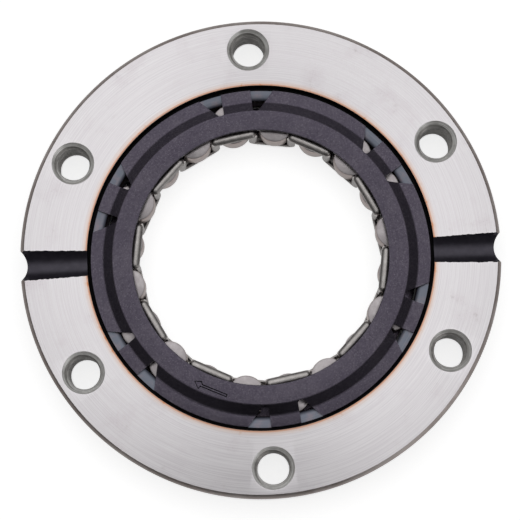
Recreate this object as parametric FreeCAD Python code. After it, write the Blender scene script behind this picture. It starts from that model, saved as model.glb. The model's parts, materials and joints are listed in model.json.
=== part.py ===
"""Sprag one-way clutch of a starter drive: outer race, sprag cage, energising spring and twenty sprags.

Units are millimetres. Z is the clutch axis, the back face of the race lies on Z = 0 and the face that
carries the cage flange looks up. The two oil channels of the race run along X.
"""
import FreeCAD, Part
import math
import os

# Standard sprag space: a hardened inner race and the radial room between it and the cam track
INNER_RACE_DIAMETER = 49.721
SPRAG_SPACE = 8.33

# Outer race: a ground steel ring with a counterbore that takes the cage flange
RACE_THICKNESS = 9.5
RACE_EDGE_CHAMFER = 0.75
TRACK_REAR_CHAMFER = 0.5
COUNTERBORE_SHELF = 2.96
COUNTERBORE_DEPTH = 2.3

# Six tapped holes, M8 by 1.25, countersunk on the front face
BOLT_COUNT = 6
BOLT_FIRST_ANGLE = 31.2
BOLT_TO_COUNTERBORE = 7.65
BOLT_TO_RIM = 6.2
TAP_DIAMETER = 6.647
COUNTERSINK_DIAMETER = 8.9

# Oil channels: round-bottomed cuts that deepen towards the rim, each ending in a notch through the rim
CHANNEL_CUTTER_RADIUS = 3.6
CHANNEL_WIDTH_AT_COUNTERBORE = 5.2
CHANNEL_WIDTH_AT_RIM = 6.3
RIM_NOTCH_RADIUS = 4.5
RIM_NOTCH_DEPTH = 1.4

# Cage: one pressed front plate with a comb of prongs, closed at the back by a ring
SHEET_THICKNESS = 0.9
PLATE_RECESS = 0.3
PLATE_RIM_WIDTH = 4.3
PLATE_STEP_WIDTH = 1.7
PLATE_STEP_INSET = 0.49
PLATE_EDGE_CHAMFER = 0.2
PLATE_BEND_EASE = 0.5
FLANGE_RIM_CLEARANCE = 0.85
FLANGE_FLOOR_CLEARANCE = 0.05

# Flange notches: one on each side of every short finger
FINGER_COUNT = 6
FINGER_FIRST_ANGLE = 36.4
NOTCH_ROOT_SETBACK = 0.2
NOTCH_ROOT_ROUND = 0.35
SHORT_SIDE_ANGLE_OUTER = 5.1
SHORT_SIDE_ANGLE_ROOT = 5.7
LONG_SIDE_ANGLE_OUTER = 12.6
LONG_SIDE_ANGLE_ROOT = 7.7

# Prong comb and the ring that closes it
COMB_OUTSIDE_PIVOT = 0.29
COMB_THICKNESS = 1.0
PRONG_CAM_CLEARANCE = 0.05
TENON_SHOULDER = 0.12
TENON_CLEARANCE = 0.03
REAR_RING_INNER_LIP = 1.7
REAR_RING_TRACK_CLEARANCE = 0.35
REAR_RING_THICKNESS = 0.9
REAR_RING_RECESS = 0.25

# Sprags: two cam arcs whose centres are offset, with waisted flanks
SPRAG_COUNT = 20
SPRAG_FIRST_ANGLE = 10.4
SPRAG_FRONT_GAP = 1.3
SPRAG_REAR_GAP = 0.45
SPRAG_TRACK_CLEARANCE = 0.05
CAM_OFFSET = 0.75
CAM_RADIUS_DIFFERENCE = 0.058
FREE_LEAN = 30.0
SEATED_LEAN = 50.0
OUTER_CAM_HALF_ARC = 52.0
INNER_CAM_HALF_ARC = 62.0
WAIST_WIDTH = 4.9
WAIST_LENGTH = 2.0
SPRAG_CORNER_CHAMFER = 0.25

# Energising spring: a closed meander of strip that passes in front of one sprag and behind the next
SPRING_SETBACK = 0.14
SPRING_STRIP = 0.35
SPRING_FLANGE_WIDTH = 1.75
SPRING_BEND_RADIUS = 0.9
SPRING_LEG_WIDTH = 1.45
SPRING_FRONT_CLEARANCE = 0.2
SPRING_SPRAG_CLEARANCE = 0.1

# Radii of the race, each a step out from the inner race
INNER_RACE_RADIUS = INNER_RACE_DIAMETER / 2
TRACK_RADIUS = INNER_RACE_RADIUS + SPRAG_SPACE
COUNTERBORE_RADIUS = TRACK_RADIUS + COUNTERBORE_SHELF
BOLT_CIRCLE_RADIUS = COUNTERBORE_RADIUS + BOLT_TO_COUNTERBORE
RACE_RADIUS = BOLT_CIRCLE_RADIUS + BOLT_TO_RIM

# With a sprag leaning at SEATED_LEAN its inner cam just touches the inner race. The cams share what the
# offset and the clearance leave of the sprag space. The pivot of a sprag is the centre of its outer cam.
SEATED_OFFSET = CAM_OFFSET * math.cos(math.radians(SEATED_LEAN))
CAM_ROOM = SPRAG_SPACE - SPRAG_TRACK_CLEARANCE - SEATED_OFFSET
INNER_CAM_RADIUS = (CAM_ROOM - CAM_RADIUS_DIFFERENCE) / 2
OUTER_CAM_RADIUS = (CAM_ROOM + CAM_RADIUS_DIFFERENCE) / 2
PIVOT_RADIUS = INNER_RACE_RADIUS + INNER_CAM_RADIUS + SEATED_OFFSET
HALF_PITCH = 180.0 / SPRAG_COUNT

# Radii of the cage and of the spring
FLANGE_RADIUS = COUNTERBORE_RADIUS - FLANGE_RIM_CLEARANCE
STEP_FOOT_RADIUS = TRACK_RADIUS - PLATE_STEP_INSET
STEP_TOP_RADIUS = STEP_FOOT_RADIUS - PLATE_STEP_WIDTH
PLATE_INNER_RADIUS = STEP_TOP_RADIUS - PLATE_RIM_WIDTH
NOTCH_ROOT_RADIUS = STEP_TOP_RADIUS + NOTCH_ROOT_SETBACK
COMB_RADIUS = PIVOT_RADIUS + COMB_OUTSIDE_PIVOT
PRONG_WIDTH = 2 * (COMB_RADIUS * math.tan(math.radians(HALF_PITCH)) - OUTER_CAM_RADIUS - PRONG_CAM_CLEARANCE)
TENON_WIDTH = PRONG_WIDTH - 2 * TENON_SHOULDER
REAR_RING_INNER_RADIUS = COMB_RADIUS - COMB_THICKNESS / 2 - REAR_RING_INNER_LIP
REAR_RING_OUTER_RADIUS = TRACK_RADIUS - REAR_RING_TRACK_CLEARANCE
SPRING_INNER_DISTANCE = INNER_RACE_RADIUS + SPRING_SETBACK

# Heights above the back face
COUNTERBORE_FLOOR_Z = RACE_THICKNESS - COUNTERBORE_DEPTH
PLATE_TOP_Z = RACE_THICKNESS - PLATE_RECESS
PLATE_BACK_Z = PLATE_TOP_Z - SHEET_THICKNESS
FLANGE_BACK_Z = COUNTERBORE_FLOOR_Z + FLANGE_FLOOR_CLEARANCE
FLANGE_TOP_Z = FLANGE_BACK_Z + SHEET_THICKNESS
REAR_RING_TOP_Z = REAR_RING_RECESS + REAR_RING_THICKNESS
SPRAG_FRONT_Z = PLATE_BACK_Z - SPRAG_FRONT_GAP
SPRAG_BACK_Z = REAR_RING_TOP_Z + SPRAG_REAR_GAP
SPRING_FRONT_Z = PLATE_BACK_Z - SPRING_FRONT_CLEARANCE
SPRING_BACK_Z = REAR_RING_RECESS

AXIS = FreeCAD.Vector(0, 0, 1)
ORIGIN = FreeCAD.Vector(0, 0, 0)


def polar(radius, degrees, z=0.0):
    """Point at a radius and angle about the clutch axis."""
    angle = math.radians(degrees)
    return FreeCAD.Vector(radius * math.cos(angle), radius * math.sin(angle), z)


def turned(shape, degrees):
    """Copy of a shape, turned about the clutch axis."""
    copy = shape.copy()
    copy.rotate(ORIGIN, AXIS, degrees)
    return copy


def ring(section):
    """Solid of revolution from (radius, z) corner points."""
    points = [FreeCAD.Vector(radius, 0, z) for radius, z in section]
    face = Part.Face(Part.makePolygon(points + [points[0]]))
    return face.revolve(ORIGIN, AXIS, 360)


def circle_edges(shape, radius, z):
    """Edges of a shape that are circles of this radius at this height."""
    found = []
    for edge in shape.Edges:
        curve = edge.Curve
        if not isinstance(curve, Part.Circle):
            continue
        if abs(curve.Radius - radius) < 1e-4 and abs(curve.Center.z - z) < 1e-4:
            found.append(edge)
    return found


def prism(wire_edges, low, high):
    """Upright prism between two heights, from edges drawn on the XY plane."""
    face = Part.Face(Part.Wire(wire_edges))
    face.translate(FreeCAD.Vector(0, 0, low))
    return face.extrude(FreeCAD.Vector(0, 0, high - low))


def line(start, end):
    return Part.LineSegment(start, end).toShape()


def arc(start, middle, end):
    return Part.Arc(start, middle, end).toShape()


def race_blank():
    """Turned ring: outside chamfers, counterbore in the front and the cam track through the middle."""
    section = [
        (TRACK_RADIUS + TRACK_REAR_CHAMFER, 0),
        (RACE_RADIUS - RACE_EDGE_CHAMFER, 0),
        (RACE_RADIUS, RACE_EDGE_CHAMFER),
        (RACE_RADIUS, RACE_THICKNESS - RACE_EDGE_CHAMFER),
        (RACE_RADIUS - RACE_EDGE_CHAMFER, RACE_THICKNESS),
        (COUNTERBORE_RADIUS, RACE_THICKNESS),
        (COUNTERBORE_RADIUS, COUNTERBORE_FLOOR_Z),
        (TRACK_RADIUS, COUNTERBORE_FLOOR_Z),
        (TRACK_RADIUS, TRACK_REAR_CHAMFER),
    ]
    return ring(section)


def tapped_hole_cutter(angle):
    """Tap drill through the ring with a countersink at the front."""
    tap = TAP_DIAMETER / 2
    sink = COUNTERSINK_DIAMETER / 2
    depth = sink - tap
    section = [
        (0, 0),
        (tap, 0),
        (tap, RACE_THICKNESS - depth),
        (sink, RACE_THICKNESS),
        (0, RACE_THICKNESS),
    ]
    cutter = ring(section)
    cutter.translate(polar(BOLT_CIRCLE_RADIUS, angle))
    return cutter


def channel_depth(width):
    """Depth of a round-bottomed cut that is this wide at the face."""
    return CHANNEL_CUTTER_RADIUS - math.sqrt(CHANNEL_CUTTER_RADIUS ** 2 - (width / 2) ** 2)


def channel_cutter():
    """Inclined cylinder that leaves one oil channel, plus the round notch through the rim."""
    lift = RACE_THICKNESS + CHANNEL_CUTTER_RADIUS
    start = FreeCAD.Vector(COUNTERBORE_RADIUS, 0, lift - channel_depth(CHANNEL_WIDTH_AT_COUNTERBORE))
    end = FreeCAD.Vector(RACE_RADIUS, 0, lift - channel_depth(CHANNEL_WIDTH_AT_RIM))
    along = end - start
    overrun = CHANNEL_CUTTER_RADIUS / along.Length
    base = start - along * overrun
    length = along.Length * (1 + 2 * overrun)
    groove = Part.makeCylinder(CHANNEL_CUTTER_RADIUS, length, base, along)
    notch_x = RACE_RADIUS - RIM_NOTCH_DEPTH + RIM_NOTCH_RADIUS
    notch = Part.makeCylinder(RIM_NOTCH_RADIUS, RACE_THICKNESS, FreeCAD.Vector(notch_x, 0, 0), AXIS)
    return groove.fuse(notch)


def make_outer_race():
    race = race_blank()
    cutters = []
    for index in range(BOLT_COUNT):
        cutters.append(tapped_hole_cutter(BOLT_FIRST_ANGLE + index * 360.0 / BOLT_COUNT))
    one_side = channel_cutter()
    cutters.append(one_side)
    cutters.append(turned(one_side, 180))
    return race.cut(cutters)


def pressed_plate():
    """Front plate of the cage: flat rim, sloped step and the flange that lies on the counterbore floor."""
    inner = PLATE_INNER_RADIUS
    bend = STEP_TOP_RADIUS
    foot = STEP_FOOT_RADIUS
    outer = FLANGE_RADIUS
    slope = math.atan2(PLATE_TOP_Z - FLANGE_TOP_Z, foot - bend)
    inset = SHEET_THICKNESS * math.tan(slope / 2)
    section = [
        (inner, PLATE_TOP_Z),
        (inner, PLATE_BACK_Z),
        (bend - inset, PLATE_BACK_Z),
        (foot - inset, FLANGE_BACK_Z),
        (outer, FLANGE_BACK_Z),
        (outer, FLANGE_TOP_Z),
        (foot, FLANGE_TOP_Z),
        (bend, PLATE_TOP_Z),
    ]
    plate = ring(section)
    plate = plate.makeChamfer(PLATE_BEND_EASE, circle_edges(plate, bend, PLATE_TOP_Z))
    plate = plate.makeChamfer(PLATE_BEND_EASE, circle_edges(plate, foot, FLANGE_TOP_Z))
    return plate.makeChamfer(PLATE_EDGE_CHAMFER, circle_edges(plate, inner, PLATE_TOP_Z))


def flange_notch(side):
    """Cutter for one notch, on the side of the short finger that the sign gives."""
    beyond = FLANGE_RADIUS + SHEET_THICKNESS
    root = NOTCH_ROOT_RADIUS
    flare = (beyond - root) / (FLANGE_RADIUS - root)
    short_beyond = SHORT_SIDE_ANGLE_ROOT + (SHORT_SIDE_ANGLE_OUTER - SHORT_SIDE_ANGLE_ROOT) * flare
    long_beyond = LONG_SIDE_ANGLE_ROOT + (LONG_SIDE_ANGLE_OUTER - LONG_SIDE_ANGLE_ROOT) * flare
    short_root = polar(root, side * SHORT_SIDE_ANGLE_ROOT)
    long_root = polar(root, side * LONG_SIDE_ANGLE_ROOT)
    tip = polar(root - NOTCH_ROOT_ROUND, side * (SHORT_SIDE_ANGLE_ROOT + LONG_SIDE_ANGLE_ROOT) / 2)
    short_end = polar(beyond, side * short_beyond)
    long_end = polar(beyond, side * long_beyond)
    edges = [
        line(short_end, short_root),
        arc(short_root, tip, long_root),
        line(long_root, long_end),
        line(long_end, short_end),
    ]
    return prism(edges, FLANGE_BACK_Z - SHEET_THICKNESS, PLATE_TOP_Z + SHEET_THICKNESS)


def comb_bar(angle, width, low, high, clearance=0.0):
    """Upright flat bar of the comb, so wide, centred at an angle."""
    depth = COMB_THICKNESS + 2 * clearance
    width = width + 2 * clearance
    corner = FreeCAD.Vector(COMB_RADIUS - depth / 2, -width / 2, low)
    return turned(Part.makeBox(depth, width, high - low, corner), angle)


def prong_angles():
    """Prongs stand midway between neighbouring sprags."""
    return [SPRAG_FIRST_ANGLE + (2 * index + 1) * HALF_PITCH for index in range(SPRAG_COUNT)]


def make_cage():
    plate = pressed_plate()
    notches = []
    for index in range(FINGER_COUNT):
        angle = FINGER_FIRST_ANGLE + index * 360.0 / FINGER_COUNT
        notches.append(turned(flange_notch(1), angle))
        notches.append(turned(flange_notch(-1), angle))
    plate = plate.cut(notches)
    prongs = []
    for angle in prong_angles():
        prongs.append(comb_bar(angle, PRONG_WIDTH, REAR_RING_TOP_Z, PLATE_BACK_Z))
        prongs.append(comb_bar(angle, TENON_WIDTH, REAR_RING_RECESS, REAR_RING_TOP_Z))
    return plate.fuse(prongs).removeSplitter()


def make_cage_rear_ring():
    """Flat ring whose slots take the tenons at the ends of the prongs."""
    section = [
        (REAR_RING_INNER_RADIUS, REAR_RING_RECESS),
        (REAR_RING_OUTER_RADIUS, REAR_RING_RECESS),
        (REAR_RING_OUTER_RADIUS, REAR_RING_TOP_Z),
        (REAR_RING_INNER_RADIUS, REAR_RING_TOP_Z),
    ]
    slots = []
    for angle in prong_angles():
        slots.append(comb_bar(angle, TENON_WIDTH, REAR_RING_RECESS, REAR_RING_TOP_Z, TENON_CLEARANCE))
    return ring(section).cut(slots)


def sprag_profile():
    """Outline of a sprag about its pivot, +Y pointing out to the race and +X along the pitch circle."""
    lean = math.radians(FREE_LEAN)
    inner_x = CAM_OFFSET * math.sin(lean)
    inner_y = -CAM_OFFSET * math.cos(lean)
    outer_half = math.radians(OUTER_CAM_HALF_ARC)
    inner_half = math.radians(INNER_CAM_HALF_ARC)

    def on_outer(angle):
        return FreeCAD.Vector(OUTER_CAM_RADIUS * math.sin(angle), OUTER_CAM_RADIUS * math.cos(angle), 0)

    def on_inner(angle):
        x = inner_x + INNER_CAM_RADIUS * math.sin(angle)
        return FreeCAD.Vector(x, inner_y - INNER_CAM_RADIUS * math.cos(angle), 0)

    def at_waist(side, end):
        y = COMB_OUTSIDE_PIVOT + end * WAIST_LENGTH / 2
        return FreeCAD.Vector(inner_x / 2 + side * WAIST_WIDTH / 2, y, 0)

    return [
        arc(on_outer(-outer_half), on_outer(0), on_outer(outer_half)),
        line(on_outer(outer_half), at_waist(1, 1)),
        line(at_waist(1, 1), at_waist(1, -1)),
        line(at_waist(1, -1), on_inner(inner_half)),
        arc(on_inner(inner_half), on_inner(0), on_inner(-inner_half)),
        line(on_inner(-inner_half), at_waist(-1, -1)),
        line(at_waist(-1, -1), at_waist(-1, 1)),
        line(at_waist(-1, 1), on_outer(-outer_half)),
    ]


def upright_edges(shape):
    """Straight edges parallel to the clutch axis."""
    found = []
    for edge in shape.Edges:
        if isinstance(edge.Curve, Part.Line) and abs(edge.tangentAt(edge.FirstParameter).z) > 0.999:
            found.append(edge)
    return found


def make_sprag(angle):
    sprag = prism(sprag_profile(), SPRAG_BACK_Z, SPRAG_FRONT_Z)
    cam_ends = [edge for edge in upright_edges(sprag) if abs(edge.Vertexes[0].Y) > WAIST_LENGTH]
    sprag = sprag.makeChamfer(SPRAG_CORNER_CHAMFER, cam_ends)
    sprag.rotate(ORIGIN, AXIS, -90)
    sprag.translate(FreeCAD.Vector(PIVOT_RADIUS, 0, 0))
    return turned(sprag, angle)


def spring_bar(front):
    """Bar of bent strip across the end of one sprag: a web facing the bore and a flange facing out."""
    inner = SPRING_INNER_DISTANCE
    outer = inner + SPRING_FLANGE_WIDTH
    bend = SPRING_BEND_RADIUS
    near = bend * (1 - math.cos(math.radians(30)))
    far = bend * (1 - math.sin(math.radians(30)))
    if front:
        face_z = SPRING_FRONT_Z
        web_z = SPRAG_FRONT_Z + SPRING_SPRAG_CLEARANCE
        inward = -1
    else:
        face_z = SPRING_BACK_Z
        web_z = SPRAG_BACK_Z - SPRING_SPRAG_CLEARANCE
        inward = 1

    def point(radius, height):
        return FreeCAD.Vector(radius, 0, face_z + inward * height)

    depth = abs(web_z - face_z)
    edges = [
        line(point(inner, depth), point(inner, bend)),
        line(point(inner, bend), point(inner + near, far)),
        line(point(inner + near, far), point(inner + far, near)),
        line(point(inner + far, near), point(inner + bend, 0)),
        line(point(inner + bend, 0), point(outer, 0)),
        line(point(outer, 0), point(outer, SPRING_STRIP)),
        line(point(outer, SPRING_STRIP), point(inner + SPRING_STRIP, SPRING_STRIP)),
        line(point(inner + SPRING_STRIP, SPRING_STRIP), point(inner + SPRING_STRIP, depth)),
        line(point(inner + SPRING_STRIP, depth), point(inner, depth)),
    ]
    half = SPRING_INNER_DISTANCE * math.tan(math.radians(HALF_PITCH)) + SPRING_LEG_WIDTH / 2
    section = Part.Face(Part.Wire(edges))
    section.translate(FreeCAD.Vector(0, -half, 0))
    bar = section.extrude(FreeCAD.Vector(0, 2 * half, 0))
    corners = [edge for edge in upright_edges(bar) if edge.Vertexes[0].X > outer - SPRING_STRIP]
    return bar.makeChamfer(SPRING_STRIP, corners)


def spring_leg():
    """Strip that runs past a sprag from a front bar to a rear bar."""
    radius = SPRING_INNER_DISTANCE / math.cos(math.radians(HALF_PITCH))
    corner = FreeCAD.Vector(radius, -SPRING_LEG_WIDTH / 2, SPRING_BACK_Z)
    return Part.makeBox(SPRING_STRIP, SPRING_LEG_WIDTH, SPRING_FRONT_Z - SPRING_BACK_Z, corner)


def make_energising_spring():
    front = spring_bar(True)
    rear = spring_bar(False)
    leg = spring_leg()
    pieces = []
    for index in range(SPRAG_COUNT):
        angle = SPRAG_FIRST_ANGLE + 2 * index * HALF_PITCH
        bar = front if index % 2 else rear
        pieces.append(turned(bar, angle))
        pieces.append(turned(leg, angle + HALF_PITCH))
    return pieces[0].fuse(pieces[1:]).removeSplitter()


def main():
    os.makedirs("parts", exist_ok=True)
    nodes = {
        "outer_race": make_outer_race(),
        "cage": make_cage(),
        "cage_rear_ring": make_cage_rear_ring(),
        "energising_spring": make_energising_spring(),
    }
    for index in range(SPRAG_COUNT):
        nodes["sprag_%02d" % (index + 1)] = make_sprag(SPRAG_FIRST_ANGLE + 2 * index * HALF_PITCH)
    for name, shape in nodes.items():
        shape.exportStep("parts/%s.step" % name)
        if name[:6] != "sprag_" or name == "sprag_01":
            print(name, len(shape.Solids), "solid, volume %.2f" % shape.Volume, shape.isValid())
    print("pivot radius %.4f, outer cam radius %.4f" % (PIVOT_RADIUS, OUTER_CAM_RADIUS))


main()
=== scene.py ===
"""Looks of the sprag clutch: ground race with tapped holes, black pressed cage, spring and sprags.

Lengths in the tables are millimetres, as on a drawing, and MM turns them into metres.
"""
import json
import math

import bmesh
import bpy
from mathutils import Matrix, Vector, noise


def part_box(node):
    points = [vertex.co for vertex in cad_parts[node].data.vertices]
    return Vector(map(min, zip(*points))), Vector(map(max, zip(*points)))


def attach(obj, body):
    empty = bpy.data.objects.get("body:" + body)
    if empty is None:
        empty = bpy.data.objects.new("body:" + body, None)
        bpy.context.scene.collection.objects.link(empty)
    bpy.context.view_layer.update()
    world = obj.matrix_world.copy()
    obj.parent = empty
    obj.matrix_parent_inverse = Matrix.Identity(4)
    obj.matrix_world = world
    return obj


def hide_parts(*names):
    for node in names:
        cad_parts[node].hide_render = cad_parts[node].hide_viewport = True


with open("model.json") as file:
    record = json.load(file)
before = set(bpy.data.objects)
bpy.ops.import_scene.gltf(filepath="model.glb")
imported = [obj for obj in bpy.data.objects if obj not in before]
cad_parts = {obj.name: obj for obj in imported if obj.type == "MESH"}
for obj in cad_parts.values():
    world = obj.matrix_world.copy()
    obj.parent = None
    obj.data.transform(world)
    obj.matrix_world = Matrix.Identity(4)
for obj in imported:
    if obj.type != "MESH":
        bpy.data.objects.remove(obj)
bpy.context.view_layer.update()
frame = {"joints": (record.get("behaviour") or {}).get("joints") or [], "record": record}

MM = 0.001
ROUND_STEPS = 360
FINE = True

# Race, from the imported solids
RACE_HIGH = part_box("outer_race")[1]
RACE_RADIUS = RACE_HIGH.y / MM
FACE_Z = RACE_HIGH.z / MM
RACE_CHAMFER = 0.75
TRACK_RADIUS = 33.19
TRACK_CHAMFER = 0.5
SHELF_RADIUS = 36.1
SHELF_Z = FACE_Z - 2.3
SHELF_EDGE_BREAK = 0.06
RELIEF_RADIUS = 35.4
RELIEF_DEPTH = 0.5

# Threads of the six holes
BOLTS = next(m for m in frame["record"]["mounts"] if m["name"] == "bolt_circle")["dims"]
BOLT_FIRST_ANGLE = 31.2
THREAD_PITCH = 1.25
THREAD_DEPTH = 0.677
THREAD_CREST = 0.3125
THREAD_ROOT = 0.156
SINK_RADIUS = 4.45

# Oil channels and the bites through the rim
CHANNEL_CUTTER_RADIUS = 3.6
CHANNEL_DEPTH_INNER = 1.114
CHANNEL_DEPTH_RIM = 1.858
CHANNEL_ROUGHNESS = 0.16
BITE_RADIUS = 4.5
BITE_DEPTH = 1.4

# Cage plate, comb and rear ring
SHEET = 0.9
PLATE_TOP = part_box("cage")[1].z / MM
FLANGE_TOP = SHELF_Z + 0.05 + SHEET
PLATE_INNER = 26.7
STEP_TOP = 30.75
STEP_FOOT = 32.9
FLANGE_RADIUS = 35.4
BEND_ROUND_TOP = 0.9
BEND_ROUND_FOOT = 1.4
FINGER_FIRST_ANGLE = 36.4
NOTCH_ROOT = 31.2
NOTCH_BOW = 0.35
NOTCH_ROOT_ANGLES = (5.7, 7.7)
NOTCH_MOUTH_ANGLES = (5.1, 12.6)
ARROW = ((-14.68, -25.24), (-13.14, -25.35), (-12.92, -26.04), (-7.92, -28.3), (-8.18, -28.91), (-13.47, -26.52),
         (-13.99, -26.99))
ARROW_LINE = 0.26
ARROW_DEPTH = 0.2
COMB_RADIUS = 29.5
PRONG_SIZE = (1.0, 1.388)
TENON_WIDTH = 1.148
REAR_RING_INNER = 27.3

# Sprags, about the pivots that the joints give
SPRAG_COUNT = 20
SPRAG_PITCH = 360 / SPRAG_COUNT
HALF_PITCH = SPRAG_PITCH / 2
INNER_CAM_RADIUS = 3.87
OUTER_CAM_RADIUS = 3.928
CAM_OFFSET = 0.75
FREE_LEAN = 30.0
OUTER_HALF_ARC = 52.0
INNER_HALF_ARC = 62.0
WAIST_WIDTH = 4.9
WAIST_RISE = 0.29
SPRAG_CORNER = 0.35
SPRAG_END_BREAK = 0.38

# Spring
SPRING_LOW, SPRING_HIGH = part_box("energising_spring")
SPRING_INNER = 25.0
SPRING_STRIP = 0.35
SPRING_FLANGE = 1.85
SPRING_WEB = 1.0
SPRING_LIP = 0.8
SPRING_CREST = 0.98
SPRING_CROWN = 1.2
SPRING_CORNER = 1.0
SPRING_END_TAPER = 0.5
SPRING_END_ROUND = 0.6
LEG_WIDTH = 1.8
LEG_CURVE = 1.15
LEG_END = 0.7

# Camera, fitted to the ring's outline and its six holes: turns in degrees, place in millimetres
CAMERA_TURNS = (-7.026, -0.297, 2.249)
CAMERA_PLACE = (-0.1309, -0.7332, 458.43)
CAMERA_LENS = 152.92
CAMERA_SENSOR = 36.0

# Floor: how bright it looks by itself, and the painted shade in its narrow gaps: how far round it looks and how far
# open a gap is before it shows
FLOOR_SIZE = 3.0
FLOOR_GREY = 0.5
FLOOR_GLOW_SEEN = 0.78
FLOOR_GLOW_MIRRORED = 0.44
GAP_REACH = 1.5
GAP_DARK = 0.36
GAP_LIGHT = 0.47

# Light: dome brightness away from its crest and at it, and the patches on it
DOME_CREST = (0, 0.27, 0.96)
DOME_EDGE = 0.6
DOME_FULL = 0.97
DOME_LOW = 0.1
DOME_HIGH = 1.36
KEY_WAY = (-0.1, 0.6, 0.8)
KEY_STRENGTH = 0.15
LOW_GLOW_WAY = (0.75, -0.62, 0.2)
LOW_GLOW_STRENGTH = 0.9


def polar(radius, degrees, z=0.0):
    """Point in metres from a radius, an angle and a height in millimetres."""
    angle = math.radians(degrees)
    return Vector((radius * math.cos(angle), radius * math.sin(angle), z)) * MM


def softened(corners, steps=4):
    """Closed outline from (x, y, round) corners, with an arc at each corner that has a round."""
    points = []
    for index, corner in enumerate(corners):
        here = Vector(corner[:2])
        size = corner[2] if len(corner) > 2 else 0
        if not size:
            points.append(here)
            continue
        back = (Vector(corners[index - 1][:2]) - here).normalized()
        ahead = (Vector(corners[(index + 1) % len(corners)][:2]) - here).normalized()
        half = back.angle(ahead) / 2
        centre = here + (back + ahead).normalized() * size / math.sin(half)
        start = here + back * size / math.tan(half) - centre
        sweep = (math.pi - 2 * half) * (1 if back.cross(ahead) < 0 else -1)
        for step in range(steps + 1):
            turn = Matrix.Rotation(sweep * step / steps, 2)
            points.append(centre + turn @ start)
    return points


def closed_loop(bm, points):
    """Vertices and edges of a closed outline."""
    verts = [bm.verts.new(point) for point in points]
    return verts + [bm.edges.new((verts[i - 1], verts[i])) for i in range(len(verts))]


def turned_ring(section, steps=ROUND_STEPS):
    """Ring spun about the clutch axis from a (radius, height) section in millimetres."""
    bm = bmesh.new()
    loop = closed_loop(bm, [Vector((r, 0, z)) * MM for r, z in section])
    bmesh.ops.spin(bm, geom=loop, cent=(0, 0, 0), axis=(0, 0, 1), angle=math.tau, steps=steps, use_merge=True)
    return tidy(bm)


def tidy(bm):
    """Merges doubles and turns the faces outwards."""
    bmesh.ops.remove_doubles(bm, verts=bm.verts, dist=1e-7)
    bmesh.ops.recalc_face_normals(bm, faces=bm.faces)
    return bm


def raised(bm, points, low, high):
    """Adds an upright prism on an outline in metres, between two heights in millimetres."""
    loop = closed_loop(bm, [Vector((p.x, p.y, low * MM)) for p in points])
    face = bmesh.ops.contextual_create(bm, geom=[e for e in loop if isinstance(e, bmesh.types.BMEdge)])["faces"]
    grown = bmesh.ops.extrude_face_region(bm, geom=face)["geom"]
    verts = [v for v in grown if isinstance(v, bmesh.types.BMVert)]
    bmesh.ops.translate(bm, verts=verts, vec=(0, 0, (high - low) * MM))
    return bm


def add_mesh(whole, bm):
    """Adds one bmesh to another and frees it."""
    piece = bpy.data.meshes.new("piece")
    bm.to_mesh(piece)
    bm.free()
    whole.from_mesh(piece)
    bpy.data.meshes.remove(piece)


def as_object(name, bm, materials, pick=None):
    """Object at the origin from a bmesh. pick gives the material number of a face from its centre."""
    mesh = bpy.data.meshes.new(name)
    if pick:
        for face in bm.faces:
            face.material_index = pick(face.calc_center_median() / MM, face.normal)
    bm.to_mesh(mesh)
    bm.free()
    for material in materials:
        mesh.materials.append(material)
    thing = bpy.data.objects.new(name, mesh)
    bpy.context.scene.collection.objects.link(thing)
    return thing


def carved(thing, cutter, operation="DIFFERENCE"):
    """Cuts one object by another, whose faces keep their material, and removes the cutter."""
    cut = thing.modifiers.new("cut", "BOOLEAN")
    cut.operation = operation
    cut.solver = "EXACT"
    cut.material_mode = "TRANSFER"
    cut.object = cutter
    result = bpy.data.meshes.new_from_object(thing.evaluated_get(bpy.context.evaluated_depsgraph_get()))
    thing.modifiers.clear()
    thing.data = result
    bpy.data.objects.remove(cutter)
    return thing


def smooth(thing, degrees=32):
    """Smooth shading with sharp edges where faces meet at more than an angle."""
    thing.data.shade_smooth()
    thing.data.set_sharp_from_angle(angle=math.radians(degrees))
    return thing


def edge_bevel(thing, width, segments=2, degrees=35):
    """Small rounded edges, live on the piece."""
    bevel = thing.modifiers.new("edges", "BEVEL")
    bevel.width = width * MM
    bevel.segments = segments
    bevel.limit_method = "ANGLE"
    bevel.angle_limit = math.radians(degrees)
    bevel.harden_normals = False
    return thing


def placed(thing, body, slot, *nodes):
    """Gives a finished piece its body and hides the solids that it stands for. Its slot is not used."""
    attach(thing, body)
    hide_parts(*nodes)
    return thing


# Materials


def tone(red, green, blue):
    """Colour as a shader wants it, from the 0 to 255 values that a screen shows."""
    return tuple(((c / 255 + 0.055) / 1.055) ** 2.4 if c > 10 else c / 3295 for c in (red, green, blue)) + (1.0,)


def put(tree, kind, inputs=None, **settings):
    """Adds a node, sets what it is and its sockets: a socket takes a value or another node's output."""
    made = tree.nodes.new(kind)
    for key, value in settings.items():
        setattr(made, key, value)
    for key, value in (inputs or {}).items():
        if isinstance(value, bpy.types.NodeSocket):
            tree.links.new(value, made.inputs[key])
        else:
            made.inputs[key].default_value = value
    return made


def sums(tree, operation, first, second=0.0, third=None, clamp=False):
    """Output of a maths node."""
    inputs = {0: first, 1: second}
    if third is not None:
        inputs[2] = third
    return put(tree, "ShaderNodeMath", inputs, operation=operation, use_clamp=clamp).outputs[0]


def blended(tree, mask, first, second):
    """Output of a colour mix."""
    mixer = put(tree, "ShaderNodeMix", data_type="RGBA")
    for socket, value in ((0, mask), (6, first), (7, second)):
        if isinstance(value, bpy.types.NodeSocket):
            tree.links.new(value, mixer.inputs[socket])
        else:
            mixer.inputs[socket].default_value = value
    return mixer.outputs[2]


def stepped(tree, value, low, high, out_low=0.0, out_high=1.0):
    """Output of a smooth step between two values."""
    inputs = {"Value": value, "From Min": low, "From Max": high, "To Min": out_low, "To Max": out_high}
    return put(tree, "ShaderNodeMapRange", inputs, interpolation_type="SMOOTHSTEP").outputs[0]


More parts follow.
